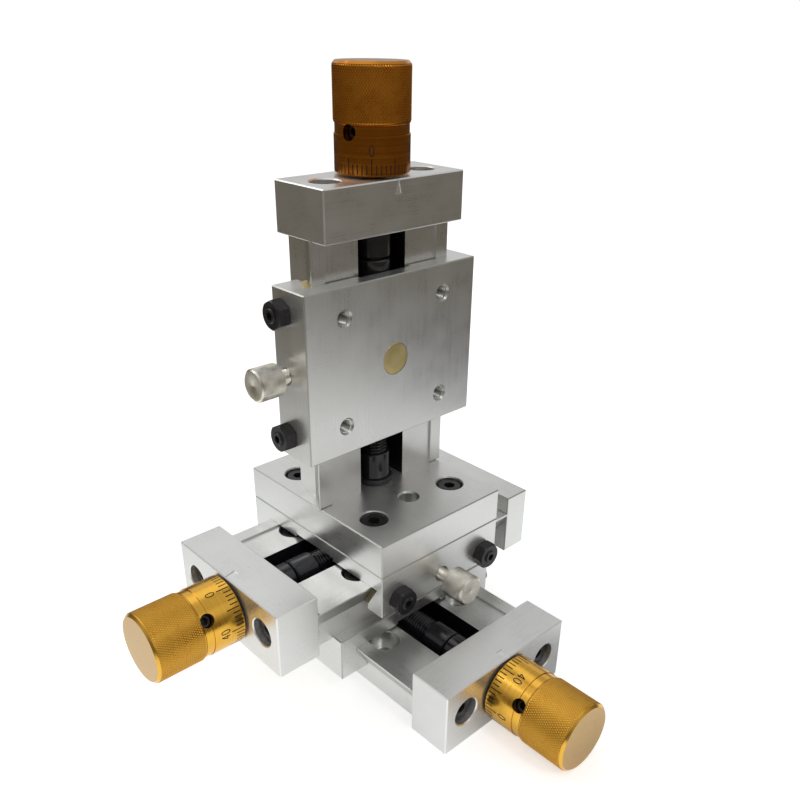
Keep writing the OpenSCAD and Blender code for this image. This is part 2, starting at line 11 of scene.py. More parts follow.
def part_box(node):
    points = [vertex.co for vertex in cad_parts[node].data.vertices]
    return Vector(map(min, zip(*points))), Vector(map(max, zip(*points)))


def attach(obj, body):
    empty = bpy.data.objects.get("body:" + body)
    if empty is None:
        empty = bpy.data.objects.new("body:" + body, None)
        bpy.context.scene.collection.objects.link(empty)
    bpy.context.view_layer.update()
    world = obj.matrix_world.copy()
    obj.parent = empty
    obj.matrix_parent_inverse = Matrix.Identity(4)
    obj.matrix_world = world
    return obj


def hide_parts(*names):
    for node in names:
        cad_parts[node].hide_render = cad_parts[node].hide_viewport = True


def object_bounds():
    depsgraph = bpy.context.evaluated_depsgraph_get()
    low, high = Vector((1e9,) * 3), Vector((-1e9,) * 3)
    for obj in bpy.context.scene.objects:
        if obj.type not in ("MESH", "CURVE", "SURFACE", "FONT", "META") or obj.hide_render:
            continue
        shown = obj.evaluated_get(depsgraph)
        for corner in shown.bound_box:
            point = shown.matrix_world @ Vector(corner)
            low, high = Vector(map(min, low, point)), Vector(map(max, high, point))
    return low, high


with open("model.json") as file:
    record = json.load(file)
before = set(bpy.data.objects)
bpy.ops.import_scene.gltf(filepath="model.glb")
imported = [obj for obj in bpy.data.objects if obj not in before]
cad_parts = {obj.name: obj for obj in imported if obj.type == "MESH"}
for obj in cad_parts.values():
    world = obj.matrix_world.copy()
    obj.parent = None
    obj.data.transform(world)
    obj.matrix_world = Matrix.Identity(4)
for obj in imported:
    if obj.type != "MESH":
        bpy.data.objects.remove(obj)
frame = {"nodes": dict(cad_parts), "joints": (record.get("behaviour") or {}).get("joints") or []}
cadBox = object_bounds()
mm = 0.001
nodes = frame["nodes"]
jointNamed = {joint["name"]: joint for joint in frame["joints"]}
print("frame loaded with", len(nodes), "nodes")


# Each slide unit: along points to its knob, across to its gib, and face out of its carriage.
def unitAxes(letter):
    along = np.array(jointNamed[letter + "_travel"]["axis"], float)
    across = np.array(jointNamed[letter + "_lock_turn"]["axis"], float)
    return {
        "letter": letter,
        "along": along,
        "across": across,
        "face": np.cross(along, across),
        "screwAxis": np.array(jointNamed[letter + "_knob_turn"]["pos_m"], float),
        "lockAxis": np.array(jointNamed[letter + "_lock_turn"]["pos_m"], float),
    }


units = [unitAxes(letter) for letter in "xyz"]


# Lowest and highest coordinate of a node along one of the frame's axes
def spanOf(node, direction):
    low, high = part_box(node)
    return sorted([float(np.array(low) @ direction), float(np.array(high) @ direction)])


# Camera, worked out from straight edges and corners in the photograph (800 x 801 pixels)
view = {
    "eye": (156.75, -140.32, 170.56),
    "azimuth": 46.76,
    "elevation": 27.93,
    "roll": 0.72,
    "focalPixels": 833.85,
    "axisPixel": (401.66, 462.02),
    "imagePixels": (800, 801),
    "sensor": 36.0,
}


def makeCamera():
    azimuth = math.radians(view["azimuth"])
    elevation = math.radians(view["elevation"])
    roll = math.radians(view["roll"])
    back = Vector((
        math.sin(azimuth) * math.cos(elevation),
        -math.cos(azimuth) * math.cos(elevation),
        math.sin(elevation),
    ))
    right = Vector((math.cos(azimuth), math.sin(azimuth), 0.0))
    up = back.cross(right)
    rolledRight = math.cos(roll) * right + math.sin(roll) * up
    rolledUp = math.cos(roll) * up - math.sin(roll) * right
    wide, high = view["imagePixels"]
    lens = bpy.data.cameras.new("camera")
    lens.sensor_fit = "HORIZONTAL"
    lens.sensor_width = view["sensor"]
    lens.lens = view["focalPixels"] / wide * view["sensor"]
    lens.shift_x = (wide / 2 - view["axisPixel"][0]) / wide
    lens.shift_y = (view["axisPixel"][1] - high / 2) / wide
    lens.clip_start = 0.01
    lens.clip_end = 20.0
    camera = bpy.data.objects.new("camera", lens)
    bpy.context.scene.collection.objects.link(camera)
    turn = Matrix((rolledRight, rolledUp, back)).transposed().to_4x4()
    camera.matrix_world = Matrix.Translation(Vector(view["eye"]) * mm) @ turn
    bpy.context.scene.camera = camera


makeCamera()
print("camera placed")


# A node of a material: sockets are linked where a value is a socket, and set where it is a number.
def shaderNode(tree, kind, sockets=None, **settings):
    made = tree.nodes.new("ShaderNode" + kind)
    for key, value in settings.items():
        setattr(made, key, value)
    for key, value in (sockets or {}).items():
        if isinstance(value, bpy.types.NodeSocket):
            tree.links.new(value, made.inputs[key])
        else:
            made.inputs[key].default_value = value
    return made


def calc(tree, operation, *values):
    made = tree.nodes.new("ShaderNodeMath")
    made.operation = operation
    for index, value in enumerate(values):
        if isinstance(value, bpy.types.NodeSocket):
            tree.links.new(value, made.inputs[index])
        else:
            made.inputs[index].default_value = value
    return made.outputs[0]


def vectorCalc(tree, operation, first, second, output="Vector"):
    made = tree.nodes.new("ShaderNodeVectorMath")
    made.operation = operation
    for index, value in enumerate((first, second)):
        if isinstance(value, bpy.types.NodeSocket):
            tree.links.new(value, made.inputs[index])
        elif value is not None:
            made.inputs[index].default_value = tuple(value)
    return made.outputs[output]


# Distance of a place from a point
def distanceFrom(tree, place, point):
    return vectorCalc(tree, "LENGTH", vectorCalc(tree, "SUBTRACT", place, point), None, "Value")


# Smooth step of a socket from 0 at low to 1 at high
def ramp(tree, value, low, high, toLow=0.0, toHigh=1.0):
    sockets = {"Value": value, "From Min": low, "From Max": high, "To Min": toLow, "To Max": toHigh}
    return shaderNode(tree, "MapRange", sockets, interpolation_type="SMOOTHSTEP").outputs["Result"]


def noise(tree, vector, scale, detail=3.0, roughness=0.55):
    sockets = {"Vector": vector, "Scale": scale, "Detail": detail, "Roughness": roughness}
    return shaderNode(tree, "TexNoise", sockets).outputs["Fac"]


def blendColour(tree, amount, first, second):
    made = shaderNode(tree, "Mix", data_type="RGBA")
    for name, value in (("Factor", amount), ("A", first), ("B", second)):
        socket = [s for s in made.inputs if s.name == name and s.enabled][0]
        if isinstance(value, bpy.types.NodeSocket):
            tree.links.new(value, socket)
        elif name == "Factor":
            socket.default_value = value
        else:
            socket.default_value = (*value, 1.0)
    return [s for s in made.outputs if s.enabled][0]


def bumped(tree, height, distance, strength):
    sockets = {"Height": height, "Distance": distance, "Strength": strength}
    return shaderNode(tree, "Bump", sockets).outputs["Normal"]


def newMaterial(name):
    material = bpy.data.materials.new(name)
    material.use_nodes = True
    tree = material.node_tree
    tree.nodes.clear()
    surface = tree.nodes.new("ShaderNodeBsdfPrincipled")
    output = tree.nodes.new("ShaderNodeOutputMaterial")
    tree.links.new(surface.outputs[0], output.inputs["Surface"])
    place = tree.nodes.new("ShaderNodeTexCoord")
    return material, tree, surface, place.outputs["Object"], place.outputs["Normal"]


# Largest component of the normal at which a face counts as square, and as fully leaning
leanSpan = (0.97, 0.85)


# 1 on chamfers and other faces that lean from the frame's axes, 0 on faces square to one
def leanMask(tree, normal):
    size = shaderNode(tree, "SeparateXYZ", {0: vectorCalc(tree, "ABSOLUTE", normal, None)})
    largest = calc(tree, "MAXIMUM", size.outputs[0], size.outputs[1])
    largest = calc(tree, "MAXIMUM", largest, size.outputs[2])
    return ramp(tree, largest, *leanSpan)


# Distance from a line and distance along it, as the two coordinates of a lathe
def latheCoordinates(tree, place, point, direction):
    fromPoint = vectorCalc(tree, "SUBTRACT", place, point)
    along = vectorCalc(tree, "DOT_PRODUCT", fromPoint, direction, "Value")
    apart = vectorCalc(tree, "CROSS_PRODUCT", fromPoint, direction)
    radius = vectorCalc(tree, "LENGTH", apart, None, "Value")
    return radius, along


# Satin clear anodised alloy: blasted grain and faint milling streaks, with painted shade darkening the
# chamfers and leaning faces on carriages, rails and plate, and a painted highlight lightening them on end
# blocks
satinAlloy = {
    "tint": (0.800, 0.803, 0.792),
    "shade": (0.735, 0.738, 0.725),
    # Chamfer colours: the first is painted shade, the second a painted highlight for end blocks
    "paintedEdgeShading": (0.46, 0.47, 0.44),
    "paintedBlockEdgeHighlight": (0.90, 0.90, 0.885),
    "metal": 0.86,
    "roughness": (0.26, 0.38),
    "edgeRoughness": 0.40,
    "grainSize": 0.16,
    "cloudSize": 9.0,
    "streakLength": 22.0,
    "streakWidth": 0.22,
    "grainDepth": 0.004,
}


def alloyMaterial(name, streakDirection, paintedEdgeShading):
    material, tree, surface, place, normal = newMaterial(name)
    stretch = [1.0 / (satinAlloy["streakWidth"] * mm)] * 3
    stretch[int(np.argmax(np.abs(streakDirection)))] = 1.0 / (satinAlloy["streakLength"] * mm)
    streaks = noise(tree, vectorCalc(tree, "MULTIPLY", place, stretch), 1.0, 2.0)
    grain = noise(tree, place, 1.0 / (satinAlloy["grainSize"] * mm), 4.0, 0.6)
    clouds = noise(tree, place, 1.0 / (satinAlloy["cloudSize"] * mm), 2.0)
    edge = leanMask(tree, normal)
    mottle = calc(tree, "ADD", calc(tree, "MULTIPLY", grain, 0.6), calc(tree, "MULTIPLY", streaks, 0.4))
    mottle = calc(tree, "ADD", calc(tree, "MULTIPLY", mottle, 0.7), calc(tree, "MULTIPLY", clouds, 0.3))
    colour = blendColour(tree, ramp(tree, mottle, 0.36, 0.62), satinAlloy["shade"], satinAlloy["tint"])
    # Chamfers and leaning faces take the given edge colour: painted shade, and a painted highlight on end
    # blocks
    colour = blendColour(tree, edge, colour, paintedEdgeShading)
    low, high = satinAlloy["roughness"]
    rough = ramp(tree, mottle, 0.35, 0.65, low, high)
    smoother = calc(tree, "MULTIPLY", edge, high - satinAlloy["edgeRoughness"])
    rough = calc(tree, "SUBTRACT", rough, smoother)
    surface.inputs["Metallic"].default_value = satinAlloy["metal"]
    tree.links.new(rough, surface.inputs["Roughness"])
    relief = calc(tree, "ADD", grain, calc(tree, "MULTIPLY", streaks, 0.5))
    tree.links.new(bumped(tree, relief, satinAlloy["grainDepth"] * mm, 0.6), surface.inputs["Normal"])
    return material, tree, surface, place, normal, colour


def plainAlloy(name, unit):
    # Painted shade on the chamfers and leaning faces
    made = alloyMaterial(name, unit["along"], satinAlloy["paintedEdgeShading"])
    material, tree, surface, place, normal, colour = made
    tree.links.new(colour, surface.inputs["Base Color"])
    return material


# The rails' screw channels are coloured near black: a mask from the height over the rail and the distance
# across
railChannel = {"halfWidth": 8.31, "underLands": 0.66, "offBack": 0.2, "black": (0.055, 0.060, 0.075)}


def railAlloy(name, unit):
    # Painted shade on the chamfers and leaning faces
    made = alloyMaterial(name, unit["along"], satinAlloy["paintedEdgeShading"])
    material, tree, surface, place, normal, colour = made
    rail = unit["letter"] + "_rail"
    back, lands = spanOf(rail, unit["face"])
    fromAxis = vectorCalc(tree, "SUBTRACT", place, unit["screwAxis"])
    across = calc(tree, "ABSOLUTE", vectorCalc(tree, "DOT_PRODUCT", fromAxis, unit["across"], "Value"))
    height = vectorCalc(tree, "DOT_PRODUCT", place, unit["face"], "Value")
    inside = calc(tree, "LESS_THAN", across, railChannel["halfWidth"] * mm)
    below = calc(tree, "LESS_THAN", height, lands - railChannel["underLands"] * mm)
    offBack = calc(tree, "GREATER_THAN", height, back + railChannel["offBack"] * mm)
    dark = calc(tree, "MULTIPLY", calc(tree, "MULTIPLY", inside, below), offBack)
    tree.links.new(blendColour(tree, dark, colour, railChannel["black"]), surface.inputs["Base Color"])
    return material


# End blocks carry a light index mark: the floor of the engraved triangle
indexMark = {
    "depth": (0.12, 0.30), "facing": 0.9,
    "paint": {"x": (0.82, 0.82, 0.81), "y": (0.82, 0.82, 0.81), "z": (1.0, 1.0, 0.99)},
}


def blockAlloy(name, unit):
    # End blocks: a painted highlight on the chamfers and leaning faces
    made = alloyMaterial(name, unit["across"], satinAlloy["paintedBlockEdgeHighlight"])
    material, tree, surface, place, normal, colour = made
    top = spanOf(unit["letter"] + "_end_block", unit["face"])[1]
    height = vectorCalc(tree, "DOT_PRODUCT", place, unit["face"], "Value")
    facing = vectorCalc(tree, "DOT_PRODUCT", normal, unit["face"], "Value")
    depth = calc(tree, "SUBTRACT", top, height)
    low, high = indexMark["depth"]
    below = calc(tree, "GREATER_THAN", depth, low * mm)
    above = calc(tree, "LESS_THAN", depth, high * mm)
    level = calc(tree, "GREATER_THAN", facing, indexMark["facing"])
    inMark = calc(tree, "MULTIPLY", calc(tree, "MULTIPLY", below, above), level)
    painted = blendColour(tree, inMark, colour, indexMark["paint"][unit["letter"]])
    tree.links.new(painted, surface.inputs["Base Color"])
    return material


# Cosine of the lean at which a turned face takes none, and all, of its own colour
faceSpan = (0.80, 0.95)


# A turned part: tool lines from noise on the lathe's two coordinates, in colour, roughness and bump.
# Faces square to the lathe's axis can have colours of their own.
def turnedMaterial(name, look, point, direction):
    material, tree, surface, place, normal = newMaterial(name)
    radius, along = latheCoordinates(tree, place, point, direction)
    tint, shade = look["tint"], look["shade"]
    if "face" in look:
        facing = calc(tree, "ABSOLUTE", vectorCalc(tree, "DOT_PRODUCT", normal, direction, "Value"))
        facing = ramp(tree, facing, *faceSpan)
        tint = blendColour(tree, facing, tint, look["face"])
        shade = blendColour(tree, facing, shade, look["faceShade"])
    lines = shaderNode(tree, "CombineXYZ", {0: radius, 1: along, 2: 0.0}).outputs[0]
    tool = noise(tree, lines, 1.0 / (look["lineSize"] * mm), 2.0)
    clouds = noise(tree, place, 1.0 / (look["cloudSize"] * mm), 3.0)
    mottle = calc(tree, "ADD", calc(tree, "MULTIPLY", tool, 0.65), calc(tree, "MULTIPLY", clouds, 0.35))
    colour = blendColour(tree, ramp(tree, mottle, 0.36, 0.64), shade, tint)
    low, high = look["roughness"]
    surface.inputs["Metallic"].default_value = look["metal"]
    surface.inputs["Specular IOR Level"].default_value = look.get("specular", 0.5)
    tree.links.new(colour, surface.inputs["Base Color"])
    tree.links.new(ramp(tree, mottle, 0.35, 0.65, low, high), surface.inputs["Roughness"])
    tree.links.new(bumped(tree, tool, look["lineDepth"] * mm, look["bump"]), surface.inputs["Normal"])
    return material


# Metal of the knurled pieces: fine etched grain and slow clouds, and painted shade: a darker colour down in
# the grooves
def grainMaterial(name, look, point, direction):
    material, tree, surface, place, normal = newMaterial(name)
    grain = noise(tree, place, 1.0 / (knurlGrain["grainSize"] * mm), 3.0)
    clouds = noise(tree, place, 1.0 / (knurlGrain["cloudSize"] * mm), 3.0)
    mottle = calc(tree, "ADD", calc(tree, "MULTIPLY", grain, 0.5), calc(tree, "MULTIPLY", clouds, 0.5))
    low, high = knurlGrain["roughness"]
    surface.inputs["Metallic"].default_value = look["metal"]
    tint, shade = look.get("grip", look["tint"]), look.get("gripShade", look["shade"])
    colour = blendColour(tree, ramp(tree, mottle, 0.36, 0.64), shade, tint)
    radius = latheCoordinates(tree, place, point, direction)[0]
    valley, crest = look["knurl"]
    # Painted shade in the knurl's grooves, darker towards the valleys
    groove = calc(tree, "MULTIPLY", ramp(tree, radius, crest * mm, valley * mm), knurlGrain["grooveShadePaint"])
    onKnurl = calc(tree, "GREATER_THAN", radius, (valley - knurlGrain["under"]) * mm)
    groove = calc(tree, "MULTIPLY", groove, onKnurl)
    colour = blendColour(tree, groove, colour, look["groove"])
    tree.links.new(colour, surface.inputs["Base Color"])
    tree.links.new(ramp(tree, mottle, 0.35, 0.65, low, high), surface.inputs["Roughness"])
    tree.links.new(bumped(tree, grain, knurlGrain["grainDepth"] * mm, 0.5), surface.inputs["Normal"])
    return material


# Turned and knurled metals. Lengths are in millimetres; knurl gives the radii of its valleys and crests,
# groove the colour of the painted shade in them.
goldAnodise = {
    "tint": (0.88, 0.50, 0.078), "shade": (0.80, 0.44, 0.060), "metal": 1.0, "roughness": (0.17, 0.25),
    "lineSize": 0.22, "cloudSize": 6.0, "lineDepth": 0.0015, "bump": 0.3,
    "face": (0.56, 0.355, 0.130), "faceShade": (0.51, 0.315, 0.110),
    "grip": (0.84, 0.45, 0.066), "gripShade": (0.74, 0.38, 0.050), "groove": (0.24, 0.105, 0.012),
    "knurl": (9.545, 9.71),
}
# The Z knob's gold is redder; it also holds painted shade in its darker dial and end face, and painted light
# in a brighter grip
redGoldPaintedLightAndShade = {
    "tint": (0.74, 0.275, 0.034), "shade": (0.64, 0.225, 0.026),
    "face": (0.52, 0.29, 0.060), "faceShade": (0.47, 0.25, 0.048),
    "grip": (1.0, 0.42, 0.055), "gripShade": (0.94, 0.37, 0.044), "groove": (0.42, 0.14, 0.012),
}
# Grain of the knurled metals; the strength of the painted shade in the grooves is given here too
knurlGrain = {
    "grainSize": 0.10, "grainDepth": 0.002, "cloudSize": 5.0, "roughness": (0.24, 0.34),
    "grooveShadePaint": 0.62, "under": 0.05,
}
brassTurned = {
    "tint": (0.82, 0.68, 0.34), "shade": (0.66, 0.53, 0.24), "metal": 1.0, "roughness": (0.28, 0.42),
    "lineSize": 0.25, "cloudSize": 5.0, "lineDepth": 0.008, "bump": 0.6,
}
# Painted shade: a dark copy of the brass for the X and Y gibs, whose ends sit in shade; the Z gib takes the
# plain brass
paintedShadeGibBrass = {
    "tint": (0.20, 0.18, 0.105), "shade": (0.13, 0.115, 0.065), "metal": 1.0, "roughness": (0.35, 0.5),
    "lineSize": 0.25, "cloudSize": 3.0, "lineDepth": 0.008, "bump": 0.6,
}
bronzeTurned = {
    "tint": (0.55, 0.36, 0.20), "shade": (0.42, 0.26, 0.14), "metal": 1.0, "roughness": (0.4, 0.55),
    "lineSize": 0.3, "cloudSize": 4.0, "lineDepth": 0.008, "bump": 0.5,
}
nickelPlate = {
    "tint": (0.97, 0.94, 0.86), "shade": (0.87, 0.84, 0.76), "metal": 1.0, "roughness": (0.22, 0.34),
    "groove": (0.36, 0.34, 0.29), "knurl": (4.30, 4.42),
    "lineSize": 0.2, "cloudSize": 3.0, "lineDepth": 0.006, "bump": 0.6,
}
blackSteel = {
    "tint": (0.046, 0.045, 0.048), "shade": (0.022, 0.021, 0.023), "metal": 0.45, "roughness": (0.28, 0.42),
    "lineSize": 0.3, "cloudSize": 2.5, "lineDepth": 0.006, "bump": 0.5,
}
smoothBlack = {
    "tint": (0.026, 0.027, 0.032), "shade": (0.020, 0.021, 0.025), "metal": 0.30,
    "roughness": (0.13, 0.19), "specular": 1.0,
    "lineSize": 0.5, "cloudSize": 4.0, "lineDepth": 0.0006, "bump": 0.2,
}
blackPolymer = {
    "tint": (0.030, 0.030, 0.032), "shade": (0.018, 0.018, 0.019), "metal": 0.0, "roughness": (0.4, 0.55),
    "lineSize": 0.35, "cloudSize": 2.0, "lineDepth": 0.01, "bump": 0.5,
}


# Black paint in the engraving of the dials
dialPaint = {
    "tint": (0.055, 0.022, 0.010), "shade": (0.030, 0.012, 0.006), "roughness": (0.45, 0.7),
    "speckSize": 0.12, "speckDepth": 0.01,
}


def dialPaintMaterial():
    material, tree, surface, place, normal = newMaterial("dialPaint")
    specks = noise(tree, place, 1.0 / (dialPaint["speckSize"] * mm), 3.0)
    colour = blendColour(tree, ramp(tree, specks, 0.4, 0.62), dialPaint["shade"], dialPaint["tint"])
    low, high = dialPaint["roughness"]
    tree.links.new(colour, surface.inputs["Base Color"])
    surface.inputs["Specular IOR Level"].default_value = 0.2
    tree.links.new(ramp(tree, specks, 0.35, 0.65, low, high), surface.inputs["Roughness"])
    tree.links.new(bumped(tree, specks, dialPaint["speckDepth"] * mm, 0.5), surface.inputs["Normal"])
    return material


def paintNode(node, material):
    slots = nodes[node].data.materials
    if len(slots) == 0:
        slots.append(material)
    for index in range(len(slots)):
        slots[index] = material


def paintUnit(unit):
    letter = unit["letter"]
    screw = (unit["screwAxis"], unit["along"])
    lock = (unit["lockAxis"], unit["across"])
    alloy = plainAlloy(letter + "Alloy", unit)
    # The Z knob's colours hold painted shade and painted light as well as a redder gold
    goldLook = {**goldAnodise, **redGoldPaintedLightAndShade} if letter == "z" else goldAnodise
    gold = turnedMaterial(letter + "Gold", goldLook, *screw)
    black = turnedMaterial(letter + "Black", blackSteel, *screw)
    sideBlack = turnedMaterial(letter + "SideBlack", blackSteel, *lock)
    nut = (nutCentre(letter), unit["face"])
    brass = turnedMaterial(letter + "Brass", brassTurned, *nut)
    # The X and Y gibs take the painted-shade brass
    gib = brass if letter == "z" else turnedMaterial(letter + "PaintedShadeGibBrass", paintedShadeGibBrass, *nut)
    smooth = turnedMaterial(letter + "SmoothBlack", smoothBlack, *screw)
    finishes = {
        "carriage": alloy, "rail": railAlloy(letter + "RailAlloy", unit), "far_block": alloy,
        "end_block": blockAlloy(letter + "BlockAlloy", unit),
        "knob": gold, "knob_screw": black, "lead_screw": smooth, "collars": smooth,
        "end_screws": black, "far_screws": black, "foot_screws": black,
        "rail_screws": turnedMaterial(letter + "RailBlack", blackSteel, *nut),
        "far_bush": turnedMaterial(letter + "Polymer", blackPolymer, *screw),
        "bearing": turnedMaterial(letter + "Bronze", bronzeTurned, *screw),
        "nut": brass, "gib": gib,
        "gib_screws": sideBlack, "gib_nuts": sideBlack,
        "lock_screw": grainMaterial(letter + "Nickel", nickelPlate, *lock),
        "grip": grainMaterial(letter + "GripGold", goldLook, *screw),
    }
    for part, material in finishes.items():
        if letter + "_" + part in nodes:
            paintNode(letter + "_" + part, material)
    return finishes


def nutCentre(letter):
    low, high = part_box(letter + "_nut")
    return (np.array(low) + np.array(high)) / 2


finishes = {unit["letter"]: paintUnit(unit) for unit in units}
paintNode("plate", plainAlloy("plateAlloy", units[0]))
paintNode("plate_screws", finishes["y"]["rail_screws"])
paint = dialPaintMaterial()
print("finishes given to the CAD nodes")


# Points around a line:
# point on the line + travel * direction + radius * (cos(angle) * first + sin(angle) * second)
def aroundLine(linePoint, direction, first, radius, travel, angle):
    second = np.cross(direction, first)
    foot = linePoint - (linePoint @ direction) * direction
    radius, travel, angle = np.broadcast_arrays(radius, travel, angle)
    outward = np.cos(angle)[..., None] * first + np.sin(angle)[..., None] * second
    return foot + travel[..., None] * direction + radius[..., None] * outward


# Skin over a stack of rings (rows, columns, 3): quads between neighbouring rings, each closed on itself,
# and either a fan to the middle of both end rings or the last ring joined to the first
def skinRings(rings, endless=False):
    rows, columns = rings.shape[:2]
    points = rings.reshape(-1, 3)
    row = np.arange(rows if endless else rows - 1)[:, None]
    column = np.arange(columns)[None, :]
    here, there = row * columns, (row + 1) % rows * columns
    after = (column + 1) % columns
    quads = np.stack([here + column, here + after, there + after, there + column], -1).reshape(-1, 4)
    fans = np.zeros((0, 3), int)
    if not endless:
        middles = np.stack([rings[0].mean(0), rings[-1].mean(0)])
        points = np.concatenate([points, middles])
        first, last = rows * columns, rows * columns + 1
        edge = np.arange(columns)
        nextEdge = (edge + 1) % columns
        top = (rows - 1) * columns
        startFan = np.stack([np.full(columns, first), nextEdge, edge], -1)
        endFan = np.stack([np.full(columns, last), top + edge, top + nextEdge], -1)
        fans = np.concatenate([startFan, endFan])
    triangles = np.concatenate([quads[:, :3], quads[:, [0, 2, 3]], fans])
    corner = points[triangles] - points.mean(0)
    volume = np.einsum("ij,ij->i", corner[:, 0], np.cross(corner[:, 1], corner[:, 2])).sum()
    if volume < 0:
        quads, fans = quads[:, ::-1], fans[:, ::-1]
    return points, quads, fans


def addPiece(name, skins, material, body, replaced=(), sharpAngle=32):
    points, faces, offset = [], [], 0
    for skinPoints, quads, fans in skins:
        points.append(skinPoints)
        faces += (quads + offset).tolist() + (fans + offset).tolist()
        offset += len(skinPoints)
    mesh = bpy.data.meshes.new(name)
    mesh.from_pydata(np.concatenate(points), [], faces)
    mesh.polygons.foreach_set("use_smooth", [True] * len(mesh.polygons))
    mesh.set_sharp_from_angle(angle=math.radians(sharpAngle))
    mesh.materials.append(material)
    mesh.update()
    piece = bpy.data.objects.new(name, mesh)
    bpy.context.scene.collection.objects.link(piece)
    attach(piece, body)
    if replaced:
        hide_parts(*replaced)
    return piece


# Triangle wave: 0 where x is whole, 1 half way between
def triangleWave(x):
    return 1 - 2 * np.abs(x - np.floor(x) - 0.5)


# V thread with flats: relief of crest (1) and root (0) over travel / pitch - angle / turn
def threadRelief(travel, angle, pitch):
    return np.clip(1.35 * triangleWave(travel / pitch - angle / (2 * math.pi)) - 0.15, 0, 1)


# Diamond knurl: pyramids between two crossing sets of grooves, each a triangle wave on the surface
def knurlRelief(travel, angle, lines, step):
    turns = lines * angle / (2 * math.pi)
    return np.minimum(triangleWave(turns + travel / step), triangleWave(turns - travel / step))


# Lead screw: plain journals, a plain shoulder at the far end and a thread of one millimetre
leadScrew = {
    "crest": 4.0, "root": 3.42, "pitch": 1.0, "rowsPerTurn": 8, "columns": 40,
    "tail": 2.5, "journal": 3.0, "startGap": 0.15, "bevel": 0.3, "shoulder": 4.7, "shoulderLength": 8.0,
}


# Radius on the thread: root + (crest - root) * relief of the thread
def makeLeadScrew(unit):
    letter, along = unit["letter"], unit["along"]
    start, end = spanOf(letter + "_lead_screw", along)
    shoulderStart = spanOf(letter + "_far_bush", along)[1] + leadScrew["startGap"] * mm
    threadStart = shoulderStart + leadScrew["shoulderLength"] * mm
    threadEnd = spanOf(letter + "_collars", along)[0]
    pitch = leadScrew["pitch"] * mm
    bevel = leadScrew["bevel"] * mm
    rows = int((threadEnd - threadStart) / pitch * leadScrew["rowsPerTurn"])
    travel = np.linspace(threadStart, threadEnd, rows)[:, None]
    angle = np.linspace(0, 2 * math.pi, leadScrew["columns"], endpoint=False)[None, :]
    relief = threadRelief(travel, angle, pitch)
    threaded = (leadScrew["root"] + (leadScrew["crest"] - leadScrew["root"]) * relief) * mm
    tail, journal = leadScrew["tail"] * mm, leadScrew["journal"] * mm
    shoulder = leadScrew["shoulder"] * mm
    before = np.array([
        [start, tail - bevel], [start + bevel, tail], [shoulderStart, tail],
        [shoulderStart, shoulder - bevel], [shoulderStart + bevel, shoulder],
        [threadStart - bevel, shoulder], [threadStart, shoulder - bevel],
    ])
    after = np.array([[threadEnd, journal], [end - bevel, journal], [end, journal - bevel]])
    columns = np.ones_like(angle)
    allTravel = np.concatenate([before[:, :1] * columns, travel * columns, after[:, :1] * columns])
    allRadius = np.concatenate([before[:, 1:] * columns, threaded, after[:, 1:] * columns])
    rings = aroundLine(unit["screwAxis"], along, unit["face"], allRadius, allTravel, angle)
    addPiece(
        letter + "_lead_thread", [skinRings(rings)], finishes[letter]["lead_screw"],
        letter + "_drive", [letter + "_lead_screw"],
    )


# Knurled sleeve on the grip of a knob: crests stand on the CAD grip and fade at both ends
gripKnurl = {
    "crest": 9.745, "valley": 9.545, "inside": 9.3, "lines": 92, "angle": 30.0, "samples": 4,
    "startIn": 0.35, "endIn": 0.6, "length": 14.0, "fade": 0.3, "wall": 0.22,
}


# Radius: foot + (valley + (crest - valley) * relief of the knurl - foot) * cover, which is 0 at both ends
def makeGrip(unit):
    letter, along = unit["letter"], unit["along"]
    end = spanOf(letter + "_knob", along)[1]
    start = end - (gripKnurl["length"] - gripKnurl["startIn"]) * mm
    stop = end - gripKnurl["endIn"] * mm
    slope = math.tan(math.radians(gripKnurl["angle"]))
    step = 2 * math.pi * gripKnurl["crest"] * mm / gripKnurl["lines"] / slope
    rows = int((stop - start) / step * gripKnurl["samples"]) + 1
    travel = (start + np.arange(rows) * step / gripKnurl["samples"])[:, None]
    count = gripKnurl["lines"] * gripKnurl["samples"]
    angle = np.linspace(0, 2 * math.pi, count, endpoint=False)[None, :]
    relief = np.clip(1.25 * knurlRelief(travel - start, angle, gripKnurl["lines"], step), 0, 1)
    fromEnd = np.minimum(travel - travel[0], travel[-1] - travel)
    cover = np.clip(fromEnd / (gripKnurl["fade"] * mm), 0, 1)
    outer = gripKnurl["valley"] + (gripKnurl["crest"] - gripKnurl["valley"]) * relief
    foot = gripKnurl["inside"] + gripKnurl["wall"]
    outer = (foot + (outer - foot) * cover) * mm
    inner = np.full_like(angle, gripKnurl["inside"] * mm)
    radius = np.concatenate([outer, inner, inner])
    allTravel = np.concatenate([travel, travel[-1:], travel[:1]])
    rings = aroundLine(unit["screwAxis"], along, unit["face"], radius, allTravel, angle)
    addPiece(
        letter + "_grip_knurl", [skinRings(rings, endless=True)], finishes[letter]["grip"],
        letter + "_drive", sharpAngle=50,
    )


# Dial marks: ribbons a hair proud of the sleeve, with their feet sunk in it
dialMarks = {
    "divisions": 50, "longEvery": 5, "numeralEvery": 10, "zeroAfterScrew": 5,
    "radius": 9.6, "proud": 0.012, "sunk": 0.15, "start": 0.45, "shortEnd": 2.8, "longEnd": 4.2,
    "lineWidth": 0.30, "strokeWidth": 0.28,
    "digitFoot": 4.85, "digitHeight": 2.5, "digitWidth": 1.2, "digitGap": 0.5,
}


# Part of an ellipse as a path, between two angles in degrees:
# centre + (half width * cos(angle), half height * sin(angle))
def arcPath(centreX, centreY, halfWidth, halfHeight, fromAngle, toAngle, count=14):
    angle = np.radians(np.linspace(fromAngle, toAngle, count))
    return np.stack([centreX + halfWidth * np.cos(angle), centreY + halfHeight * np.sin(angle)], -1)


# Straight path between two points
def linePath(startX, startY, endX, endY, count=4):
    return np.linspace([startX, startY], [endX, endY], count)


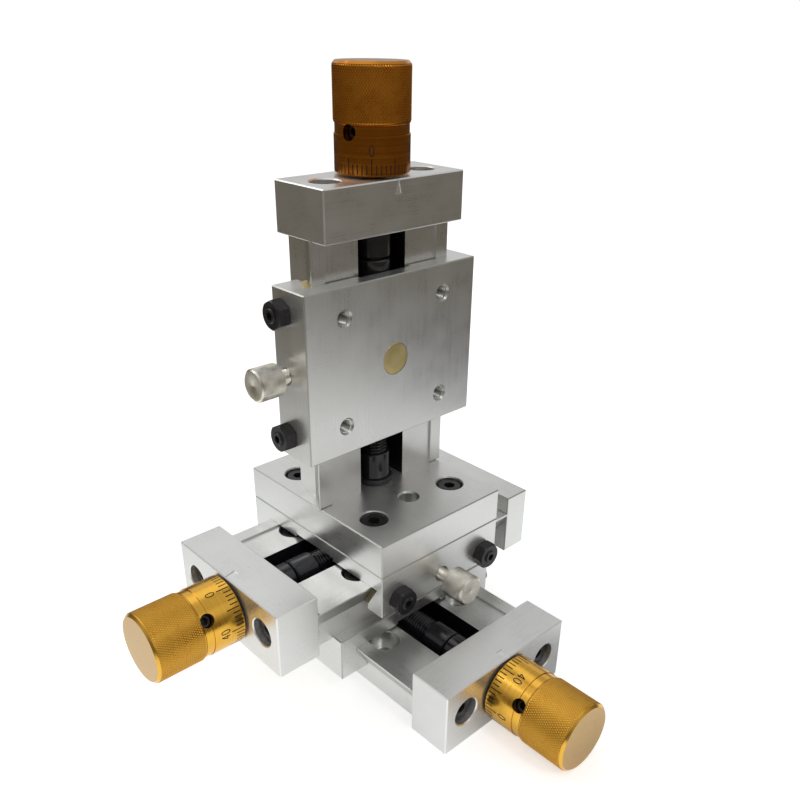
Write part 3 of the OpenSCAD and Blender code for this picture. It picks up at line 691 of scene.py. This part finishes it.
# Strokes of a digit, one unit wide and one unit high
def digitStrokes(digit):
    strokes = {
        "0": [arcPath(0.5, 0.5, 0.46, 0.5, 0, 360, 25)],
        "1": [linePath(0.55, 0, 0.55, 1), linePath(0.55, 1, 0.2, 0.78)],
        "2": [
            arcPath(0.5, 0.73, 0.45, 0.27, 170, -40),
            linePath(0.85, 0.56, 0.05, 0), linePath(0.05, 0, 0.95, 0),
        ],
        "3": [arcPath(0.45, 0.75, 0.42, 0.25, 150, -90), arcPath(0.45, 0.26, 0.46, 0.26, 90, -150)],
        "4": [linePath(0.72, 0, 0.72, 1), linePath(0.72, 1, 0.02, 0.33), linePath(0.02, 0.33, 1.0, 0.33)],
    }
    return strokes[digit]


# Ribbon along a path on the sleeve, with four corners at each of its points:
# path + and - half the width across it, at the height above the sleeve and at the foot in it
def ribbonRings(path, width):
    ahead = np.gradient(path, axis=0)
    ahead /= np.linalg.norm(ahead, axis=1, keepdims=True)
    aside = np.stack([-ahead[:, 1], ahead[:, 0]], -1) * width / 2
    left, right = path + aside, path - aside
    flat = np.stack([left, right, right, left], 1)
    top = dialMarks["radius"] + dialMarks["proud"]
    foot = dialMarks["radius"] - dialMarks["sunk"]
    height = np.broadcast_to(np.array([top, top, foot, foot]), flat.shape[:2])
    return flat, height


def screwAngle(unit):
    low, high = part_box(unit["letter"] + "_knob_screw")
    outward = (np.array(low) + np.array(high)) / 2 - unit["screwAxis"]
    second = np.cross(unit["along"], unit["face"])
    return math.atan2(outward @ second, outward @ unit["face"])


# A mark's point: angle = angle of its middle + sideways / radius of the sleeve, travel = start + upwards
def makeDialMarks(unit):
    letter, along = unit["letter"], unit["along"]
    start = spanOf(letter + "_knob", along)[0]
    division = 2 * math.pi / dialMarks["divisions"]
    zero = screwAngle(unit) + dialMarks["zeroAfterScrew"] * division
    skins = []

    def addRibbon(path, width, middle):
        flat, height = ribbonRings(path, width)
        angle = middle + flat[..., 0] / dialMarks["radius"]
        travel = start + flat[..., 1] * mm
        rings = aroundLine(unit["screwAxis"], along, unit["face"], height * mm, travel, angle)
        skins.append(skinRings(rings))

    for index in range(dialMarks["divisions"]):
        longer = index % dialMarks["longEvery"] == 0
        reach = dialMarks["longEnd"] if longer else dialMarks["shortEnd"]
        line = linePath(0, dialMarks["start"], 0, reach)
        addRibbon(line, dialMarks["lineWidth"], zero + index * division)
        if index % dialMarks["numeralEvery"] == 0:
            digits = str(index)
            pace = dialMarks["digitWidth"] + dialMarks["digitGap"]
            for place, digit in enumerate(digits):
                shift = (place - (len(digits) - 1) / 2) * pace - dialMarks["digitWidth"] / 2
                size = np.array([dialMarks["digitWidth"], dialMarks["digitHeight"]])
                for stroke in digitStrokes(digit):
                    path = stroke * size + [shift, dialMarks["digitFoot"]]
                    addRibbon(path, dialMarks["strokeWidth"], zero + index * division)
    addPiece(letter + "_dial_marks", skins, paint, letter + "_drive")


# Lock screw: threaded neck, knurled head and a dished, turned end
lockScrew = {
    "pointRadius": 1.2, "pointLength": 1.0, "crest": 1.95, "root": 1.6, "pitch": 0.7, "rowsPerTurn": 7,
    "headLength": 7.5, "headCrest": 4.45, "headValley": 4.30, "bevel": 0.5, "lines": 48, "samples": 4,
    "angle": 30.0,
    "rim": 3.85, "dish": 0.06, "dimple": 0.30,
}


# Radius: root + (crest - root) * relief of the thread on the neck,
# and valley + (crest - valley) * relief of the knurl on the head
def makeLockScrew(unit):
    letter, across = unit["letter"], unit["across"]
    tip, end = (value / mm for value in spanOf(letter + "_lock_screw", across))
    look = lockScrew
    headStart = end - look["headLength"]
    angle = np.linspace(0, 2 * math.pi, look["lines"] * look["samples"], endpoint=False)[None, :]
    columns = np.ones_like(angle)
    coneEnd = tip + look["pointLength"] + look["crest"] - look["pointRadius"]
    rows = int((headStart - coneEnd) / look["pitch"] * look["rowsPerTurn"])
    neck = np.linspace(coneEnd, headStart, rows)[:, None]
    neckRadius = look["root"] + (look["crest"] - look["root"]) * threadRelief(neck, angle, look["pitch"])
    step = 2 * math.pi * look["headCrest"] / look["lines"] / math.tan(math.radians(look["angle"]))
    knurlLength = look["headLength"] - 2 * look["bevel"]
    rows = int(knurlLength / step * look["samples"]) + 1
    grip = np.linspace(headStart + look["bevel"], end - look["bevel"], rows)[:, None]
    relief = np.clip(1.25 * knurlRelief(grip - headStart, angle, look["lines"], step), 0, 1)
    gripRadius = look["headValley"] + (look["headCrest"] - look["headValley"]) * relief
    bevelRadius = look["headValley"] - look["bevel"]
    point = np.array([[tip, look["pointRadius"]], [tip + look["pointLength"], look["pointRadius"]]])
    shoulder = np.array([[headStart, bevelRadius]])
    face = np.array([
        [end, bevelRadius], [end, look["rim"]], [end - look["dish"], look["rim"] - look["dish"]],
        [end - look["dish"], look["dimple"]], [end - 2 * look["dish"], look["dimple"] / 2],
    ])
    travel = np.concatenate([
        part * columns for part in (point[:, :1], neck, shoulder[:, :1], grip, face[:, :1])
    ])
    radius = np.concatenate([
        point[:, 1:] * columns, neckRadius, shoulder[:, 1:] * columns, gripRadius, face[:, 1:] * columns,
    ])
    rings = aroundLine(unit["lockAxis"], across, unit["face"], radius * mm, travel * mm, angle)
    addPiece(
        letter + "_lock_knurled", [skinRings(rings)], finishes[letter]["lock_screw"],
        letter + "_lock", [letter + "_lock_screw"],
    )


# Thread in the four tapped holes of the Z carriage: a helical inside on a sleeve sunk in the alloy
holeThread = {
    "across": 35.0, "along": 30.0, "outside": 2.14, "crest": 1.62, "root": 1.97,
    "pitch": 0.7, "rowsPerTurn": 8, "columns": 32, "startDepth": 0.55, "endDepth": 4.9,
}


# Inner radius: root + (crest - root) * relief of the thread
def makeHoleThreads(unit):
    letter, face = unit["letter"], unit["face"]
    low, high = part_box(letter + "_carriage")
    middle = (np.array(low) + np.array(high)) / 2
    top = spanOf(letter + "_carriage", face)[1]
    look = holeThread
    rows = int((look["endDepth"] - look["startDepth"]) / look["pitch"] * look["rowsPerTurn"])
    travel = (top - np.linspace(look["startDepth"], look["endDepth"], rows) * mm)[:, None]
    angle = np.linspace(0, 2 * math.pi, look["columns"], endpoint=False)[None, :]
    relief = threadRelief(travel, angle, look["pitch"] * mm)
    inner = (look["root"] + (look["crest"] - look["root"]) * relief) * mm
    outer = np.full_like(angle, look["outside"] * mm)
    radius = np.concatenate([inner, outer, outer])
    allTravel = np.concatenate([travel, travel[-1:], travel[:1]])
    skins = []
    for i in (-0.5, 0.5):
        for j in (-0.5, 0.5):
            aside, ahead = i * look["across"] * unit["across"], j * look["along"] * unit["along"]
            centre = middle + (aside + ahead) * mm
            rings = aroundLine(centre, face, unit["along"], radius, allTravel, angle)
            skins.append(skinRings(rings, endless=True))
    addPiece(
        letter + "_hole_threads", skins, finishes[letter]["carriage"],
        letter + "_slide",
    )


for unit in units:
    makeLeadScrew(unit)
    makeGrip(unit)
    makeDialMarks(unit)
    makeLockScrew(unit)
makeHoleThreads(units[2])
print("threads, knurls and dial marks made")


# Pale floor: a wide disc, white to the camera. What the metal reflects of it is painted light and shade: a
# painted pool of light in colour and glow that falls off to the dark far colour, a painted dark patch at the
# right and a painted shadow near
floor = {
    "radius": 3.0, "columns": 96, "paper": (0.88, 0.88, 0.875), "lift": 0.55,
    "paintedTableLighting": (0.86, 0.885, 0.88), "far": (0.120, 0.100, 0.064), "litRadius": 0.08, "darkRadius": 0.32,
    "litMiddle": (0.035, -0.02, 0.0), "glow": 0.45,
    # Colour and place of the painted dark patch; the shade values place the painted shadow, in the same
    # colour
    "paintedShadePatch": (0.030, 0.036, 0.080), "paintedPatchMiddle": (0.145, 0.185, 0.0),
    "paintedPatchInner": 0.025, "paintedPatchOuter": 0.085,
    "shadeMiddle": (0.046, 0.018, 0.0), "shadeInner": 0.015, "shadeOuter": 0.048, "shadeDepth": 0.62,
    "under": 0.02,  # millimetres below the stack
}


# Disc: a fan from its middle to radius * (cos(angle), sin(angle))
def makeFloor():
    material, tree, surface, place, normal = newMaterial("floorPaper")
    fibres = noise(tree, place, 400.0, 3.0)
    seen = shaderNode(tree, "LightPath").outputs["Is Camera Ray"]
    # Painted pool of light: the reflected colour falls off from the lit middle to the dark far colour
    fromLit = distanceFrom(tree, place, floor["litMiddle"])
    fall = ramp(tree, fromLit, floor["litRadius"], floor["darkRadius"])
    paintedTableLighting = blendColour(tree, fall, floor["paintedTableLighting"], floor["far"])
    # Painted shade: a dark patch behind the stack at the right
    fromPatch = distanceFrom(tree, place, floor["paintedPatchMiddle"])
    paintedShadePatch = ramp(tree, fromPatch, floor["paintedPatchOuter"], floor["paintedPatchInner"])
    paintedTableLighting = blendColour(tree, paintedShadePatch, paintedTableLighting, floor["paintedShadePatch"])
    # Painted shadow close to the stack
    fromShade = distanceFrom(tree, place, floor["shadeMiddle"])
    shaded = ramp(tree, fromShade, floor["shadeOuter"], floor["shadeInner"], 0.0, floor["shadeDepth"])
    paintedTableLighting = blendColour(tree, shaded, paintedTableLighting, floor["paintedShadePatch"])
    tree.links.new(blendColour(tree, seen, paintedTableLighting, floor["paper"]), surface.inputs["Base Color"])
    # Painted light: for reflections the floor glows where the painted pool of light is, less in the patch
    # and the shadow
    dimmed = calc(tree, "MAXIMUM", calc(tree, "MAXIMUM", fall, paintedShadePatch), shaded)
    glow = calc(tree, "MULTIPLY", calc(tree, "SUBTRACT", 1.0, dimmed), floor["glow"])
    lifted = shaderNode(tree, "MapRange", {"Value": seen, "To Min": glow, "To Max": floor["lift"]})
    tree.links.new(lifted.outputs[0], surface.inputs["Emission Strength"])
    surface.inputs["Emission Color"].default_value = (1.0, 1.0, 1.0, 1.0)
    tree.links.new(ramp(tree, fibres, 0.3, 0.7, 0.9, 1.0), surface.inputs["Roughness"])
    surface.inputs["Specular IOR Level"].default_value = 0.1
    angle = np.linspace(0, 2 * math.pi, floor["columns"], endpoint=False)
    edge = np.stack([np.cos(angle), np.sin(angle), np.zeros_like(angle)], -1) * floor["radius"]
    level = cadBox[0].z - floor["under"] * mm
    points = np.concatenate([edge, [[0, 0, 0]]]) + [0, 0, level]
    here = np.arange(floor["columns"])
    faces = np.stack([here, (here + 1) % floor["columns"], np.full_like(here, floor["columns"])], -1)
    mesh = bpy.data.meshes.new("floor")
    mesh.from_pydata(points, [], faces.tolist())
    mesh.materials.append(material)
    piece = bpy.data.objects.new("floor", mesh)
    bpy.context.scene.collection.objects.link(piece)


# Soft boxes: where each stands seen from the stack, its size and its power
lights = {
    "left": {"from": (-0.72, -0.42, 0.72), "size": 0.42, "power": 1.5},
    "back": {"from": (-0.55, 0.35, 0.85), "size": 0.60, "power": 0.4},
    "right": {"from": (0.95, 0.25, 0.80), "size": 0.60, "power": 0.3},
    "key": {"from": (0.80, -0.02, 0.80), "size": 0.16, "power": 1.1},
}
# The room by height (sine of the elevation): dark and warm at the horizon, light above, brighter at the back
# left, and darker low on the left and high on the right
room = {
    "horizon": 0.175, "upper": 0.62, "top": 0.85, "brightSide": (-0.73, 0.68, 0.0), "side": 0.40,
    "warm": (1.0, 0.81, 0.58), "white": (1.0, 1.0, 1.0), "seen": 1.0,
    "left": (-0.685, -0.728, 0.0), "leftDrop": 0.10, "rightDim": 0.30,
    "leftSpan": (0.02, 0.26), "rightSpan": (0.14, -0.30), "rightHeights": (0.20, 0.50),
    "lowHeights": (0.10, 0.50), "highHeights": (0.50, 1.0), "sideSpan": (0.45, 0.95),
    "sideRise": (0.0, 0.15), "sideFall": (0.55, 0.30), "warmGlow": (0.5, 0.15),
}


def makeLights():
    centre = (cadBox[0] + cadBox[1]) / 2
    for name, setting in lights.items():
        lamp = bpy.data.lights.new(name, "AREA")
        lamp.shape = "SQUARE"
        lamp.size = setting["size"]
        lamp.energy = setting["power"]
        holder = bpy.data.objects.new(name, lamp)
        bpy.context.scene.collection.objects.link(holder)
        holder.location = centre + Vector(setting["from"])
        holder.rotation_euler = (-Vector(setting["from"])).to_track_quat("-Z", "Y").to_euler()


def makeRoom():
    world = bpy.data.worlds.new("room")
    bpy.context.scene.world = world
    world.use_nodes = True
    tree = world.node_tree
    tree.nodes.clear()
    place = shaderNode(tree, "TexCoord").outputs["Generated"]
    height = shaderNode(tree, "SeparateXYZ", {0: place}).outputs[2]
    toLeft = vectorCalc(tree, "DOT_PRODUCT", place, room["left"], "Value")
    leftward = ramp(tree, toLeft, *room["leftSpan"])
    height = calc(tree, "SUBTRACT", height, calc(tree, "MULTIPLY", leftward, room["leftDrop"]))
    glow = ramp(tree, height, *room["lowHeights"], room["horizon"], room["upper"])
    higher = ramp(tree, height, *room["highHeights"], 0.0, room["top"] - room["upper"])
    glow = calc(tree, "ADD", glow, higher)
    dimming = ramp(tree, height, *room["rightHeights"], 0.0, room["rightDim"])
    rightward = calc(tree, "MULTIPLY", ramp(tree, toLeft, *room["rightSpan"]), dimming)
    glow = calc(tree, "MULTIPLY", glow, calc(tree, "SUBTRACT", 1.0, rightward))
    towards = vectorCalc(tree, "DOT_PRODUCT", place, room["brightSide"], "Value")
    side = ramp(tree, towards, *room["sideSpan"])
    side = calc(tree, "MULTIPLY", side, ramp(tree, height, *room["sideRise"]))
    side = calc(tree, "MULTIPLY", side, ramp(tree, height, *room["sideFall"]))
    glow = calc(tree, "ADD", glow, calc(tree, "MULTIPLY", side, room["side"]))
    warmth = ramp(tree, glow, *room["warmGlow"])
    colour = blendColour(tree, warmth, room["white"], room["warm"])
    seen = shaderNode(tree, "LightPath").outputs["Is Camera Ray"]
    colour = blendColour(tree, seen, colour, room["white"])
    strength = shaderNode(tree, "MapRange", {"Value": seen, "To Min": glow, "To Max": room["seen"]})
    backdrop = shaderNode(tree, "Background", {"Color": colour, "Strength": strength.outputs[0]})
    shaderNode(tree, "OutputWorld", {"Surface": backdrop.outputs[0]})


makeFloor()
makeLights()
makeRoom()
bpy.context.scene.view_settings.view_transform = "Standard"
print("floor, lights and room made")
